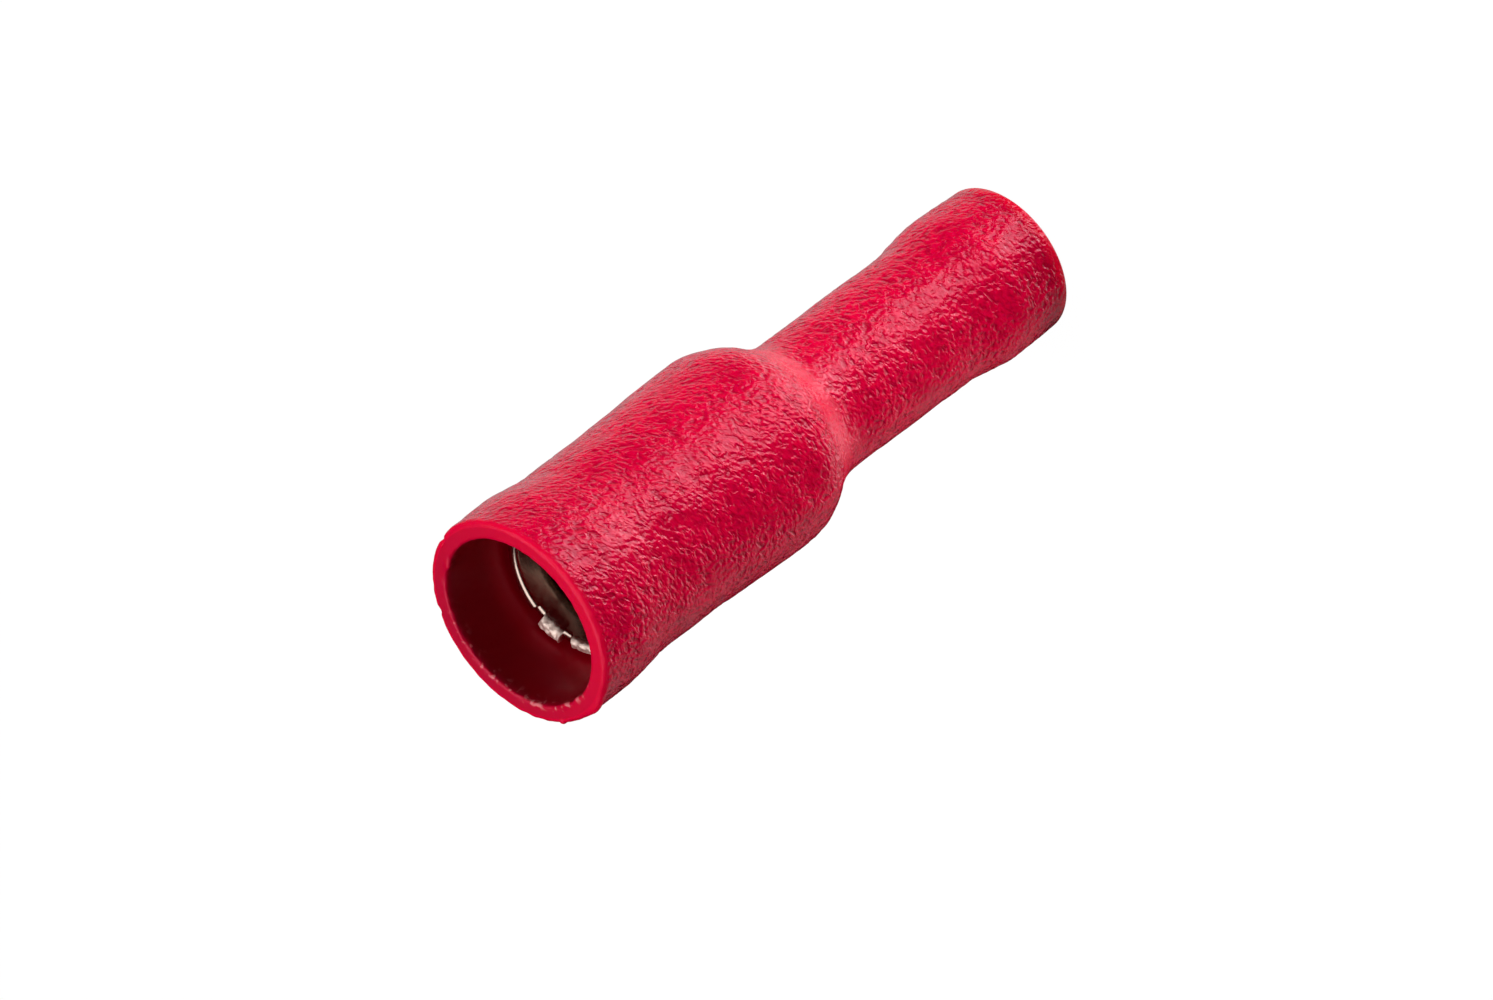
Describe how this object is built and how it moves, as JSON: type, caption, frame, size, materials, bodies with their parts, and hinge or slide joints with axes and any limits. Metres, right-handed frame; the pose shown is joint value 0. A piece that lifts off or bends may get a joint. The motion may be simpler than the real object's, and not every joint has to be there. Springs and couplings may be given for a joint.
{
  "type": "snap plug wire terminal",
  "caption": "Insulated female snap plug wire terminal: a soft sleeve with a raised mouth over a rolled sheet socket that tapers to a crimp barrel.",
  "frame": {"origin": "centre of the wire end's rim, on the surface that the terminal stands on", "axes": "+Z runs along the terminal's axis from the wire end to the plug mouth. The contact's cut-off tab points 108.5 degrees round from +X towards +Y, and its seam is opposite."},
  "size_m": [0.0076, 0.0076, 0.0247],
  "materials": {
    "sleeve": "finely creased satin vinyl",
    "contact": "tin plated, with bright sheared edges"
  },
  "bodies": {
    "root": {"insulating_sleeve": "sleeve", "socket_contact": "contact"}
  },
  "joints": []
}
